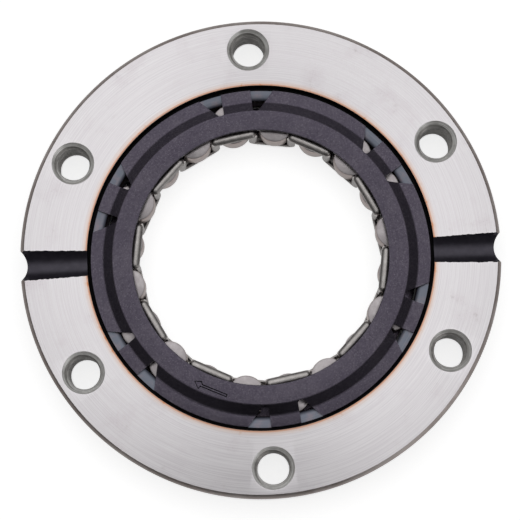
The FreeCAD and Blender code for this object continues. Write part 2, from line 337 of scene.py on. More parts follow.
def new_group(name, inputs, outputs):
    """Empty shader group with named float inputs and outputs."""
    tree = bpy.data.node_groups.new(name, "ShaderNodeTree")
    for label, value in inputs.items():
        socket = tree.interface.new_socket(label, in_out="INPUT", socket_type="NodeSocketFloat")
        socket.default_value = value
    for label in outputs:
        tree.interface.new_socket(label, in_out="OUTPUT", socket_type="NodeSocketFloat")
    return tree, tree.nodes.new("NodeGroupInput"), tree.nodes.new("NodeGroupOutput")


def object_place(tree):
    """Object coordinates in millimetres."""
    source = put(tree, "ShaderNodeTexCoord").outputs["Object"]
    return put(tree, "ShaderNodeVectorMath", {0: source, "Scale": 1 / MM}, operation="SCALE").outputs[0]


def radius_and_turn(tree):
    """Radius in millimetres, angle as 0 to 1 and height, about the clutch axis."""
    parts = put(tree, "ShaderNodeSeparateXYZ", {0: object_place(tree)}).outputs
    flat = put(tree, "ShaderNodeCombineXYZ", {0: parts[0], 1: parts[1]}).outputs[0]
    radius = put(tree, "ShaderNodeVectorMath", {0: flat}, operation="LENGTH").outputs["Value"]
    angle = sums(tree, "ARCTAN2", parts[1], parts[0])
    return radius, angle, parts[2]


def make_turning_lines():
    """Fine lines round the axis, as a grinder or a lathe leaves them. Fineness is lines per millimetre."""
    tree, source, result = new_group("turning_lines", {"Fineness": 4.0, "Length": 6.0}, ["Mask"])
    radius, angle, height = radius_and_turn(tree)
    across = sums(tree, "MULTIPLY", sums(tree, "ADD", radius, height), source.outputs["Fineness"])
    round_x = sums(tree, "MULTIPLY", sums(tree, "COSINE", angle), source.outputs["Length"])
    round_y = sums(tree, "MULTIPLY", sums(tree, "SINE", angle), source.outputs["Length"])
    place = put(tree, "ShaderNodeCombineXYZ", {0: across, 1: round_x, 2: round_y}).outputs[0]
    lines = put(tree, "ShaderNodeTexNoise", {"Vector": place, "Scale": 1.0, "Detail": 3.0, "Roughness": 0.6})
    tree.links.new(lines.outputs[0], result.inputs["Mask"])
    return tree


def make_blotches():
    """Cloudy patches. Size is millimetres across a patch, Level is where they begin."""
    tree, source, result = new_group("blotches", {"Size": 10.0, "Level": 0.5, "Softness": 0.2}, ["Mask"])
    scale = sums(tree, "DIVIDE", 1.0, source.outputs["Size"])
    inputs = {"Vector": object_place(tree), "Scale": scale, "Detail": 6.0, "Roughness": 0.62}
    clouds = put(tree, "ShaderNodeTexNoise", inputs).outputs[0]
    top = sums(tree, "ADD", source.outputs["Level"], source.outputs["Softness"])
    tree.links.new(stepped(tree, clouds, source.outputs["Level"], top), result.inputs["Mask"])
    return tree


def make_specks():
    """Sparse small spots. Spacing is millimetres between them, Share is how large they are in it."""
    tree, source, result = new_group("specks", {"Spacing": 1.0, "Share": 0.2}, ["Mask"])
    scale = sums(tree, "DIVIDE", 1.0, source.outputs["Spacing"])
    cells = put(tree, "ShaderNodeTexVoronoi", {"Vector": object_place(tree), "Scale": scale, "Randomness": 1.0})
    spot = stepped(tree, cells.outputs["Distance"], 0.0, source.outputs["Share"], 1.0, 0.0)
    shade = put(tree, "ShaderNodeSeparateColor", {0: cells.outputs["Color"]}).outputs[0]
    tree.links.new(sums(tree, "MULTIPLY", spot, shade), result.inputs["Mask"])
    return tree


def make_radial_fade():
    """1 at one radius fading to 0 at another."""
    tree, source, result = new_group("radial_fade", {"Full": 1.0, "Gone": 2.0}, ["Mask"])
    radius, _, _ = radius_and_turn(tree)
    fade = stepped(tree, radius, source.outputs["Full"], source.outputs["Gone"], 1.0, 0.0)
    tree.links.new(fade, result.inputs["Mask"])
    return tree


def make_height_rings():
    """Fine level rings in a hole, as a countersink or a tap leaves them. Fineness is rings per millimetre."""
    tree, source, result = new_group("height_rings", {"Fineness": 8.0}, ["Mask"])
    parts = put(tree, "ShaderNodeSeparateXYZ", {0: object_place(tree)}).outputs
    along = sums(tree, "MULTIPLY", parts[2], source.outputs["Fineness"])
    slow_x = sums(tree, "MULTIPLY", parts[0], 0.15)
    slow_y = sums(tree, "MULTIPLY", parts[1], 0.15)
    place = put(tree, "ShaderNodeCombineXYZ", {0: slow_x, 1: slow_y, 2: along}).outputs[0]
    rings = put(tree, "ShaderNodeTexNoise", {"Vector": place, "Scale": 1.0, "Detail": 2.0, "Roughness": 0.5})
    tree.links.new(rings.outputs[0], result.inputs["Mask"])
    return tree


TURNING_LINES = make_turning_lines()
HEIGHT_RINGS = make_height_rings()
BLOTCHES = make_blotches()
SPECKS = make_specks()
RADIAL_FADE = make_radial_fade()


def effect(tree, group, **values):
    """Mask of one of the shared effects, with its own values."""
    made = tree.nodes.new("ShaderNodeGroup")
    made.node_tree = group
    for label, value in values.items():
        made.inputs[label].default_value = value
    return made.outputs[0]


def new_finish(name, metallic, roughness):
    """Material with a Principled shader, its tree and that shader."""
    material = bpy.data.materials.new(name)
    material.use_nodes = True
    shader = material.node_tree.nodes["Principled BSDF"]
    shader.inputs["Metallic"].default_value = metallic
    shader.inputs["Roughness"].default_value = roughness
    return material, material.node_tree, shader


def set_bump(tree, shader, height, strength, distance):
    """Relief on a shader, its distance in millimetres."""
    inputs = {"Height": height, "Strength": strength, "Distance": distance * MM}
    tree.links.new(put(tree, "ShaderNodeBump", inputs).outputs[0], shader.inputs["Normal"])


def ground_across(tree, shader, amount):
    """Stretches highlights across the lines that run round the clutch axis."""
    around = put(tree, "ShaderNodeTangent", direction_type="RADIAL", axis="Z").outputs[0]
    tree.links.new(around, shader.inputs["Tangent"])
    shader.inputs["Anisotropic"].default_value = amount
    shader.inputs["Anisotropic Rotation"].default_value = 0.25


def ground_face_steel():
    """Flat faces: pale ground steel with fine lines, faint stains and a heat tint round the bore."""
    material, tree, shader = new_finish("ground_face_steel", 1.0, 0.4)
    ground_across(tree, shader, 0.85)
    lines = effect(tree, TURNING_LINES, Fineness=5.0, Length=3.0)
    scratches = effect(tree, TURNING_LINES, Fineness=9.0, Length=0.6)
    stains = effect(tree, BLOTCHES, Size=9.0, Level=0.5, Softness=0.25)
    marks = effect(tree, BLOTCHES, Size=1.6, Level=0.56, Softness=0.16)
    pits = effect(tree, SPECKS, Spacing=0.55, Share=0.35)
    colour = blended(tree, stepped(tree, lines, 0.35, 0.65), tone(211, 207, 210), tone(227, 224, 226))
    colour = blended(tree, stepped(tree, scratches, 0.56, 0.72, 0.0, 0.5), colour, tone(238, 236, 238))
    colour = blended(tree, sums(tree, "MULTIPLY", stains, 0.45), colour, tone(202, 193, 198))
    colour = blended(tree, sums(tree, "MULTIPLY", sums(tree, "MULTIPLY", marks, stains), 0.8), colour,
                     tone(178, 172, 172))
    colour = blended(tree, sums(tree, "MULTIPLY", sums(tree, "MULTIPLY", pits, stains), 0.7), colour,
                     tone(160, 150, 152))
    front = stepped(tree, radius_and_turn(tree)[2], FACE_Z / 2 - 1, FACE_Z / 2 + 1)
    uneven = sums(tree, "ADD", sums(tree, "MULTIPLY", marks, 0.5), 0.6, clamp=True)
    uneven = sums(tree, "MULTIPLY", uneven, front)
    wide = effect(tree, RADIAL_FADE, Full=SHELF_RADIUS - 0.2, Gone=SHELF_RADIUS + 1.5)
    colour = blended(tree, sums(tree, "MULTIPLY", wide, uneven), colour, tone(214, 172, 140))
    edge = effect(tree, RADIAL_FADE, Full=SHELF_RADIUS + 0.2, Gone=SHELF_RADIUS + 0.5)
    colour = blended(tree, sums(tree, "MULTIPLY", edge, uneven), colour, tone(196, 132, 92))
    tree.links.new(colour, shader.inputs["Base Color"])
    tree.links.new(stepped(tree, lines, 0.2, 0.8, 0.32, 0.42), shader.inputs["Roughness"])
    set_bump(tree, shader, lines, 0.2, 0.01)
    return material


def turned_rim_steel():
    """Rim, chamfers and cam track: darker, brownish turned steel."""
    material, tree, shader = new_finish("turned_rim_steel", 1.0, 0.36)
    lines = effect(tree, TURNING_LINES, Fineness=4.0, Length=2.0)
    stains = effect(tree, BLOTCHES, Size=4.0, Level=0.45, Softness=0.2)
    colour = blended(tree, stepped(tree, lines, 0.3, 0.7), tone(150, 140, 136), tone(178, 170, 167))
    colour = blended(tree, sums(tree, "MULTIPLY", stains, 0.4), colour, tone(126, 114, 110))
    tree.links.new(colour, shader.inputs["Base Color"])
    set_bump(tree, shader, lines, 0.3, 0.015)
    return material


def countersink_steel():
    """Countersinks: freshly cut steel with rings from the tool."""
    material, tree, shader = new_finish("countersink_steel", 0.35, 0.32)
    rings = effect(tree, HEIGHT_RINGS, Fineness=7.0)
    marks = effect(tree, BLOTCHES, Size=2.5, Level=0.4, Softness=0.25)
    colour = blended(tree, stepped(tree, rings, 0.35, 0.65), tone(200, 198, 195), tone(250, 249, 247))
    colour = blended(tree, sums(tree, "MULTIPLY", marks, 0.4), colour, tone(160, 158, 154))
    tree.links.new(colour, shader.inputs["Base Color"])
    set_bump(tree, shader, rings, 0.6, 0.04)
    return material


def shaded_thread_steel():
    """Threads: cut steel with fine tool marks and darker blotches, coloured well below the countersinks as painted
    shade deep in the holes.
    """
    material, tree, shader = new_finish("shaded_thread_steel", 0.6, 0.32)
    marks = effect(tree, BLOTCHES, Size=0.8, Level=0.4, Softness=0.3)
    rings = effect(tree, HEIGHT_RINGS, Fineness=6.0)
    # painted shade: both tones sit below the countersinks' cut steel, for the shade deep in the holes
    colour = blended(tree, marks, tone(156, 153, 150), tone(190, 186, 183))
    colour = blended(tree, stepped(tree, rings, 0.5, 0.7, 0.0, 0.6), colour, tone(220, 217, 214))
    tree.links.new(colour, shader.inputs["Base Color"])
    set_bump(tree, shader, rings, 0.3, 0.01)
    return material


def blued_steel():
    """Counterbore floor: blue-grey heat-treated steel with faint rainbow streaks, and painted shade darkening it
    towards its inner edge at the cam track.
    """
    material, tree, shader = new_finish("blued_steel", 1.0, 0.3)
    hints = effect(tree, BLOTCHES, Size=2.2, Level=0.45, Softness=0.25)
    lines = effect(tree, TURNING_LINES, Fineness=6.0, Length=1.0)
    colour = blended(tree, hints, tone(98, 102, 112), tone(116, 109, 116))
    colour = blended(tree, stepped(tree, lines, 0.55, 0.75, 0.0, 0.45), colour, tone(138, 136, 134))
    # painted shade: the floor fades to near black over its inner 0.9 mm, beside the deep gap by the cam track
    edge = effect(tree, RADIAL_FADE, Full=TRACK_RADIUS, Gone=TRACK_RADIUS + 0.9)
    colour = blended(tree, edge, colour, tone(30, 31, 38))
    tree.links.new(colour, shader.inputs["Base Color"])
    set_bump(tree, shader, lines, 0.2, 0.01)
    return material


def channel_black():
    """Oil channels and rim bites: black scale with a dull sheen."""
    material, tree, shader = new_finish("channel_black", 0.6, 0.3)
    scale = effect(tree, BLOTCHES, Size=1.4, Level=0.35, Softness=0.4)
    tree.links.new(blended(tree, scale, tone(50, 47, 56), tone(60, 57, 66)), shader.inputs["Base Color"])
    set_bump(tree, shader, scale, 0.15, 0.02)
    return material


def shade_and_arrow_black():
    """Relief groove and wall of the counterbore: near black, painted in as the shade of the narrow gap round the
    cage flange. Lines of the arrow: the same near black.
    """
    material, tree, shader = new_finish("shade_and_arrow_black", 0.0, 0.6)
    mottle = effect(tree, BLOTCHES, Size=0.8, Level=0.35, Softness=0.4)
    # painted shade on the relief groove and counterbore wall, plain near black on the arrow lines
    tree.links.new(blended(tree, mottle, tone(11, 11, 13), tone(15, 14, 17)), shader.inputs["Base Color"])
    shader.inputs["Specular IOR Level"].default_value = 0.1
    set_bump(tree, shader, mottle, 0.2, 0.02)
    return material


def cage_black():
    """Pressed cage: black oxide, slightly purple, with a fine grain."""
    material, tree, shader = new_finish("cage_black", 0.9, 0.27)
    grain = effect(tree, SPECKS, Spacing=0.3, Share=0.6)
    pits = effect(tree, BLOTCHES, Size=0.45, Level=0.46, Softness=0.16)
    clouds = effect(tree, BLOTCHES, Size=5.0, Level=0.4, Softness=0.3)
    colour = blended(tree, clouds, tone(70, 65, 76), tone(77, 72, 82))
    colour = blended(tree, sums(tree, "MULTIPLY", pits, 0.5), colour, tone(56, 52, 62))
    colour = blended(tree, sums(tree, "MULTIPLY", grain, 0.6), colour, tone(116, 112, 120))
    tree.links.new(colour, shader.inputs["Base Color"])
    set_bump(tree, shader, grain, 0.25, 0.012)
    return material


def spring_steel():
    """Spring: bright formed strip."""
    material, tree, shader = new_finish("spring_strip_steel", 1.0, 0.4)
    marks = effect(tree, BLOTCHES, Size=1.2, Level=0.35, Softness=0.4)
    tree.links.new(blended(tree, marks, tone(160, 156, 154), tone(180, 176, 174)), shader.inputs["Base Color"])
    set_bump(tree, shader, marks, 0.15, 0.01)
    return material


def sprag_steel(name, dark, light):
    """Sprags: cut ends in a dull grey, or cams with a warm brown cast."""
    material, tree, shader = new_finish(name, 1.0, 0.38)
    marks = effect(tree, SPECKS, Spacing=0.3, Share=0.6)
    clouds = effect(tree, BLOTCHES, Size=2.0, Level=0.4, Softness=0.3)
    colour = blended(tree, clouds, dark, light)
    colour = blended(tree, sums(tree, "MULTIPLY", marks, 0.3), colour, tone(132, 128, 124))
    tree.links.new(colour, shader.inputs["Base Color"])
    set_bump(tree, shader, marks, 0.2, 0.01)
    return material


FACE_STEEL = ground_face_steel()
RIM_STEEL = turned_rim_steel()
SINK_STEEL = countersink_steel()
SHADED_THREAD_STEEL = shaded_thread_steel()
BLUED = blued_steel()
CHANNEL_BLACK = channel_black()
SHADE_AND_ARROW_BLACK = shade_and_arrow_black()
CAGE_BLACK = cage_black()
SPRING_STEEL = spring_steel()
SPRAG_END_STEEL = sprag_steel("sprag_end_steel", tone(158, 152, 154), tone(174, 169, 170))
SPRAG_CAM_STEEL = sprag_steel("sprag_cam_steel", tone(176, 162, 158), tone(192, 181, 177))


# Outer race


def race_face_finish(centre, normal):
    """Number of the race material that a face of the blank takes."""
    radius = centre.xy.length
    if abs(normal.z) > 0.99 and (centre.z > FACE_Z - 0.01 or centre.z < 0.01):
        return 0
    # Relief groove and counterbore wall take the near black that stands for the shade of the gap round the cage
    # flange
    if RELIEF_RADIUS < radius < SHELF_RADIUS + 0.01 and centre.z > SHELF_Z - 1:
        return 3
    if radius < SHELF_RADIUS and centre.z > SHELF_Z - 0.3:
        return 2
    return 1


def race_blank():
    """Turned ring with its chamfers, counterbore and cam track."""
    section = softened([
        (TRACK_RADIUS + TRACK_CHAMFER, 0),
        (RACE_RADIUS - RACE_CHAMFER, 0, 0.12),
        (RACE_RADIUS, RACE_CHAMFER, 0.12),
        (RACE_RADIUS, FACE_Z - RACE_CHAMFER, 0.12),
        (RACE_RADIUS - RACE_CHAMFER, FACE_Z, 0.12),
        (SHELF_RADIUS + SHELF_EDGE_BREAK, FACE_Z),
        (SHELF_RADIUS, FACE_Z - SHELF_EDGE_BREAK),
        (SHELF_RADIUS, SHELF_Z - RELIEF_DEPTH, 0.15),
        (RELIEF_RADIUS, SHELF_Z - RELIEF_DEPTH, 0.15),
        (RELIEF_RADIUS, SHELF_Z),
        (TRACK_RADIUS, SHELF_Z, 0.1),
        (TRACK_RADIUS, TRACK_CHAMFER),
    ], 2)
    return as_object("race_body", turned_ring(section), [FACE_STEEL, RIM_STEEL, BLUED, SHADE_AND_ARROW_BLACK],
                     race_face_finish)


def bolt_places():
    """Centres of the six holes on the back face."""
    count = BOLTS["count"]
    return [polar(BOLTS["pcd_mm"] / 2, BOLT_FIRST_ANGLE + 360 / count * n) for n in range(count)]


def countersinks():
    """Cones at the front end of every hole."""
    bm = bmesh.new()
    over = 1.0
    slope = SINK_RADIUS - BOLTS["hole_r_mm"]
    for place in bolt_places():
        cone = bmesh.ops.create_cone(bm, cap_ends=True, segments=96, radius1=BOLTS["hole_r_mm"] * MM,
                                     radius2=(SINK_RADIUS + over) * MM, depth=(slope + over) * MM)
        middle = Vector((0, 0, (FACE_Z + (over - slope) / 2) * MM))
        bmesh.ops.translate(bm, verts=cone["verts"], vec=place + middle)
    return as_object("countersinks", tidy(bm), [SINK_STEEL])


def threaded_plugs():
    bm = bmesh.new()
    core = BOLTS["hole_r_mm"]
    for place in bolt_places():
        if not FINE:
            plain = bmesh.ops.create_cone(bm, cap_ends=True, segments=64, radius1=core * MM, radius2=core * MM,
                                          depth=2 * FACE_Z * MM)
            bmesh.ops.translate(bm, verts=plain["verts"], vec=place + Vector((0, 0, FACE_Z / 2 * MM)))
            continue
        flank = (THREAD_PITCH - THREAD_CREST - THREAD_ROOT) / 2
        heights = ((core, 0), (core, THREAD_CREST), (core + THREAD_DEPTH, THREAD_CREST + flank),
                   (core + THREAD_DEPTH, THREAD_CREST + flank + THREAD_ROOT), (core, THREAD_PITCH))
        start = -2 * THREAD_PITCH
        turns = math.ceil((FACE_Z - start) / THREAD_PITCH) + 2
        steps = 60
        verts = [bm.verts.new(place + Vector((r, 0, start + z)) * MM) for r, z in heights]
        chain = verts + [bm.edges.new(pair) for pair in zip(verts, verts[1:])]
        bmesh.ops.spin(bm, geom=chain, cent=place, axis=(0, 0, 1), dvec=(0, 0, THREAD_PITCH / steps * MM),
                       angle=math.tau * turns, steps=steps * turns)
    bmesh.ops.remove_doubles(bm, verts=bm.verts, dist=2e-6)
    open_edges = [e for e in bm.edges if e.is_boundary]
    if open_edges:
        caps = bmesh.ops.holes_fill(bm, edges=open_edges, sides=0)["faces"]
        bmesh.ops.poke(bm, faces=caps)
    return as_object("threaded_plugs", tidy(bm), [SHADED_THREAD_STEEL])


def channels():
    """Sloping round cutters, slightly ragged along their length, that leave the two oil channels."""
    whole = bmesh.new()
    lift = FACE_Z + CHANNEL_CUTTER_RADIUS
    inner = Vector((SHELF_RADIUS, 0, lift - CHANNEL_DEPTH_INNER)) * MM
    outer = Vector((RACE_RADIUS, 0, lift - CHANNEL_DEPTH_RIM)) * MM
    along = (outer - inner).normalized()
    length = (outer - inner).length + 7 * MM
    for side in (0, math.pi):
        rod = bmesh.new()
        bmesh.ops.create_cone(rod, cap_ends=True, segments=96, radius1=CHANNEL_CUTTER_RADIUS * MM,
                              radius2=CHANNEL_CUTTER_RADIUS * MM, depth=length)
        sides = [e for e in rod.edges if abs(e.verts[0].co.z - e.verts[1].co.z) > length / 2]
        bmesh.ops.subdivide_edges(rod, edges=sides, cuts=60, use_grid_fill=True)
        for vert in rod.verts:
            edge = min(1.0, max(0.0, abs(vert.co.x) / MM / CHANNEL_CUTTER_RADIUS / 0.3 - 1.8))
            rise = noise.noise(vert.co / MM * 1.9 + Vector((side, 0, 0))) * CHANNEL_ROUGHNESS * edge
            vert.co.xy *= 1 + rise / CHANNEL_CUTTER_RADIUS
        place = Matrix.Rotation(side, 4, "Z") @ Matrix.Translation((inner + outer) / 2)
        place = place @ along.to_track_quat("Z", "Y").to_matrix().to_4x4()
        bmesh.ops.transform(rod, matrix=place, verts=rod.verts)
        add_mesh(whole, rod)
    return as_object("channels", tidy(whole), [CHANNEL_BLACK])


def rim_bites():
    """Upright round cutters that leave the bites through the rim at the channel ends."""
    bm = bmesh.new()
    reach = RACE_RADIUS - BITE_DEPTH + BITE_RADIUS
    for side in (-1, 1):
        rod = bmesh.ops.create_cone(bm, cap_ends=True, segments=96, radius1=BITE_RADIUS * MM,
                                    radius2=BITE_RADIUS * MM, depth=2 * FACE_Z * MM)
        bmesh.ops.translate(bm, verts=rod["verts"], vec=(side * reach * MM, 0, FACE_Z / 2 * MM))
    return as_object("rim_bites", tidy(bm), [CHANNEL_BLACK])


def make_race():
    race = race_blank()
    for cutter in (countersinks(), threaded_plugs(), channels(), rim_bites()):
        carved(race, cutter)
    return placed(smooth(race), "outer_race", "race_steel", "outer_race")


# Cage


def plate_section():
    """Section of the pressed plate, with round bends and rolled inner edges."""
    slope = math.atan2(PLATE_TOP - FLANGE_TOP, STEP_FOOT - STEP_TOP)
    inset = SHEET * math.tan(slope / 2)
    return softened([
        (PLATE_INNER, PLATE_TOP, 0.12),
        (PLATE_INNER, PLATE_TOP - SHEET, 0.12),
        (STEP_TOP - inset, PLATE_TOP - SHEET, BEND_ROUND_TOP),
        (STEP_FOOT - inset, FLANGE_TOP - SHEET, BEND_ROUND_FOOT),
        (FLANGE_RADIUS, FLANGE_TOP - SHEET, 0.06),
        (FLANGE_RADIUS, FLANGE_TOP, 0.06),
        (STEP_FOOT, FLANGE_TOP, BEND_ROUND_FOOT),
        (STEP_TOP, PLATE_TOP, BEND_ROUND_TOP),
    ], 6)


def arrow_groove():
    """Outline groove of the plain arrow on the flat rim."""
    bm = bmesh.new()
    edges = closed_loop(bm, [Vector((*p, PLATE_TOP)) * MM for p in ARROW])[len(ARROW):]
    face = bmesh.ops.contextual_create(bm, geom=edges)["faces"]
    rim = bmesh.ops.inset_individual(bm, faces=face, thickness=ARROW_LINE * MM)["faces"]
    bmesh.ops.delete(bm, geom=[f for f in bm.faces if f not in rim], context="FACES")
    bmesh.ops.translate(bm, verts=bm.verts, vec=(0, 0, -ARROW_DEPTH * MM))
    grown = bmesh.ops.extrude_face_region(bm, geom=list(bm.faces))["geom"]
    top = [v for v in grown if isinstance(v, bmesh.types.BMVert)]
    bmesh.ops.translate(bm, verts=top, vec=(0, 0, 3 * ARROW_DEPTH * MM))
    return as_object("arrow", tidy(bm), [SHADE_AND_ARROW_BLACK])


def notch_cutters():
    """Twelve tapered notches, one on each side of every short finger."""
    bm = bmesh.new()
    beyond = FLANGE_RADIUS + SHEET
    flare = (beyond - NOTCH_ROOT) / (FLANGE_RADIUS - NOTCH_ROOT)
    near, far = (root + (mouth - root) * flare for root, mouth in zip(NOTCH_ROOT_ANGLES, NOTCH_MOUTH_ANGLES))
    near_root, far_root = NOTCH_ROOT_ANGLES
    for finger in range(6):
        for side in (1, -1):
            middle = FINGER_FIRST_ANGLE + 60 * finger

            def corner(radius, degrees):
                return polar(radius, middle + side * degrees) / MM

            outline = softened([
                (*corner(beyond, near).xy,),
                (*corner(NOTCH_ROOT - NOTCH_BOW, near_root).xy, 0.5),
                (*corner(NOTCH_ROOT - NOTCH_BOW, far_root).xy, 0.5),
                (*corner(beyond, far).xy,),
            ])
            raised(bm, [p * MM for p in outline], FLANGE_TOP - 2 * SHEET, PLATE_TOP + SHEET)
    return as_object("notches", tidy(bm), [CAGE_BLACK])


def make_cage_plate():
    plate = as_object("cage_plate", turned_ring(plate_section()), [CAGE_BLACK])
    carved(plate, notch_cutters())
    carved(plate, arrow_groove())
    edge_bevel(plate, 0.07, 2, 40)
    return placed(smooth(plate), "cage", "cage_black", "cage")


def comb_angles():
    """Prongs stand midway between the sprags."""
    return [SPRAG_FIRST_ANGLE + SPRAG_PITCH * (n + 0.5) for n in range(SPRAG_COUNT)]


def make_cage_comb():
    """Twenty flat prongs with narrower tenons at the back."""
    bm = bmesh.new()
    ring_low, ring_high = (corner.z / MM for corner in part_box("cage_rear_ring"))
    for angle in comb_angles():
        for width, low, high in ((PRONG_SIZE[1], ring_high, PLATE_TOP - SHEET), (TENON_WIDTH, ring_low, ring_high)):
            bar = bmesh.ops.create_cube(bm, size=MM)["verts"]
            bmesh.ops.scale(bm, vec=(PRONG_SIZE[0], width, high - low), verts=bar)
            bmesh.ops.translate(bm, vec=Vector((COMB_RADIUS, 0, (low + high) / 2)) * MM, verts=bar)
            turn = Matrix.Rotation(math.radians(angle), 3, "Z")
            bmesh.ops.rotate(bm, cent=(0, 0, 0), matrix=turn, verts=bar)
    comb = as_object("cage_comb", tidy(bm), [CAGE_BLACK])
    edge_bevel(comb, 0.08)
    return placed(smooth(comb), "cage", "cage_black", "cage")


def make_rear_ring():
    low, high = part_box("cage_rear_ring")
    outer = high.y / MM
    inner = REAR_RING_INNER
    section = softened([(inner, low.z / MM, 0.15), (outer, low.z / MM, 0.15), (outer, high.z / MM, 0.1),
                        (inner, high.z / MM, 0.1)], 3)
    ring = as_object("rear_ring", turned_ring(section), [CAGE_BLACK])
    return placed(smooth(ring), "cage", "cage_black", "cage_rear_ring")


# Sprags


def arc_chain(bm, centre, start, degrees, steps):
    """Arc of edges made by spinning one vertex about a centre, in millimetres."""
    vert = bm.verts.new(Vector((*start, 0)) * MM)
    bmesh.ops.spin(bm, geom=[vert], cent=Vector((*centre, 0)) * MM, axis=(0, 0, 1), angle=math.radians(degrees),
                   steps=steps)


def circle_through(a, b, c):
    """Centre of the circle through three flat points."""
    d = 2 * (a.x * (b.y - c.y) + b.x * (c.y - a.y) + c.x * (a.y - b.y))
    x = (a.length_squared * (b.y - c.y) + b.length_squared * (c.y - a.y) + c.length_squared * (a.y - b.y)) / d
    y = (a.length_squared * (c.x - b.x) + b.length_squared * (a.x - c.x) + c.length_squared * (b.x - a.x)) / d
    return Vector((x, y))


def sprag_outline(bm):
    """Outline about the pivot, with +X pointing out to the race: two cams and two waisted flanks."""
    lean = math.radians(FREE_LEAN)
    inner_centre = Vector((-CAM_OFFSET * math.cos(lean), -CAM_OFFSET * math.sin(lean)))

    def on_outer(degrees):
        return Vector((math.cos(math.radians(degrees)), math.sin(math.radians(degrees)))) * OUTER_CAM_RADIUS

    def on_inner(degrees):
        way = Vector((-math.cos(math.radians(degrees)), math.sin(math.radians(degrees))))
        return inner_centre + way * INNER_CAM_RADIUS

    arc_chain(bm, (0, 0), on_outer(-OUTER_HALF_ARC), 2 * OUTER_HALF_ARC, 28)
    arc_chain(bm, inner_centre, on_inner(INNER_HALF_ARC), 2 * INNER_HALF_ARC, 32)
    for side in (1, -1):
        start = on_outer(side * OUTER_HALF_ARC)
        waist = Vector((WAIST_RISE, inner_centre.y / 2 + side * WAIST_WIDTH / 2))
        end = on_inner(side * INNER_HALF_ARC)
        centre = circle_through(start, waist, end)
        sweep = math.degrees((start - centre).angle_signed(end - centre))
        arc_chain(bm, centre, start, -sweep, 14)
    bmesh.ops.remove_doubles(bm, verts=bm.verts, dist=1e-6)


def make_sprag(name, pivot):
    """One sprag about its own pivot, with rounded corners and softly broken ends."""
    low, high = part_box(name)
    bm = bmesh.new()
    sprag_outline(bm)
    face = bmesh.ops.contextual_create(bm, geom=list(bm.edges))["faces"]
    grown = bmesh.ops.extrude_face_region(bm, geom=face)["geom"]
    top = [v for v in grown if isinstance(v, bmesh.types.BMVert)]
    bmesh.ops.translate(bm, verts=top, vec=(0, 0, high.z - low.z))
    tidy(bm)
    corners = [e for e in bm.edges if abs((e.verts[0].co - e.verts[1].co).z) > MM and e.calc_face_angle(0) > 0.5]
    bmesh.ops.bevel(bm, geom=corners, offset=SPRAG_CORNER * MM, segments=4, profile=0.5, affect="EDGES",
                    material=-1)
    rims = [e for e in bm.edges if len({round(f.normal.z) for f in e.link_faces}) == 2]
    bmesh.ops.bevel(bm, geom=rims, offset=SPRAG_END_BREAK * MM, segments=2, profile=0.5, affect="EDGES",
                    material=-1)
    place = Matrix.Translation((pivot.x, pivot.y, low.z)) @ Matrix.Rotation(math.atan2(pivot.y, pivot.x), 4, "Z")
    bmesh.ops.transform(bm, matrix=place, verts=bm.verts)
    sprag = as_object(name + "_cam", tidy(bm), [SPRAG_END_STEEL, SPRAG_CAM_STEEL],
                      lambda centre, normal: 0 if abs(normal.z) > 0.9 else 1)
    return placed(smooth(sprag, 40), name, "sprag_steel", name)


# Spring


def crown(left, right, radius, drop, steps=12):
    """Arc over the strip from one side of its crest to the other, as (distance, depth below the crest)."""
    first, last = math.asin((left - SPRING_CREST) / radius), math.asin((right - SPRING_CREST) / radius)
    turns = [first + (last - first) * step / steps for step in range(steps + 1)]
    return [(SPRING_INNER + SPRING_CREST + radius * math.sin(turn), drop + radius * (1 - math.cos(turn)))
            for turn in turns]


def spring_section(inward):
    """Section of a bar as (distance, height from its face): strip with a round crown and both sides turned in."""
    strip = SPRING_STRIP
    inner, outer = SPRING_INNER, SPRING_INNER + SPRING_FLANGE
    points = [(inner, SPRING_WEB)] + crown(0, SPRING_FLANGE, SPRING_CROWN, 0)
    points += [(outer, SPRING_LIP), (outer - strip, SPRING_LIP)]
    points += crown(SPRING_FLANGE - strip, strip, SPRING_CROWN - strip, strip, 8) + [(inner + strip, SPRING_WEB)]
    return [(x, inward * z) for x, z in points]


def spring_bar(bm, front):
    """Bar across one sprag whose ends bend down into the legs."""
    face_z = (SPRING_HIGH.z if front else SPRING_LOW.z) / MM
    inward = -1 if front else 1
    half = SPRING_INNER * math.tan(math.radians(HALF_PITCH)) + LEG_WIDTH / 2 - SPRING_CORNER
    loop = closed_loop(bm, [Vector((x, -half, face_z + z)) * MM for x, z in spring_section(inward)])
    edges = [e for e in loop if isinstance(e, bmesh.types.BMEdge)]
    straight = bmesh.ops.extrude_edge_only(bm, edges=edges)["geom"]
    far = [v for v in straight if isinstance(v, bmesh.types.BMVert)]
    bmesh.ops.translate(bm, verts=far, vec=(0, 2 * half * MM, 0))
    far_edges = [e for e in straight if isinstance(e, bmesh.types.BMEdge) and all(v in far for v in e.verts)]
    for ends, side in ((far_edges, 1), (edges, -1)):
        centre = Vector((0, side * half, face_z + inward * SPRING_CORNER)) * MM
        verts = list({v for e in ends for v in e.verts})
        turned = bmesh.ops.spin(bm, geom=verts + list(ends), cent=centre, axis=(1, 0, 0),
                                angle=-side * inward * math.radians(-90), steps=8)["geom_last"]
        last_edges = [e for e in turned if isinstance(e, bmesh.types.BMEdge)]
        bmesh.ops.contextual_create(bm, geom=last_edges)
    for vert in bm.verts:
        past = max(0.0, abs(vert.co.y) / MM - half) / SPRING_CORNER
        out = vert.co.x / MM - SPRING_INNER
        rounding = SPRING_END_ROUND * (1 - math.sqrt(max(0.0, 1 - past ** 2)))
        vert.co.x = (SPRING_INNER + out * (1 - SPRING_END_TAPER * past ** 2) + rounding) * MM


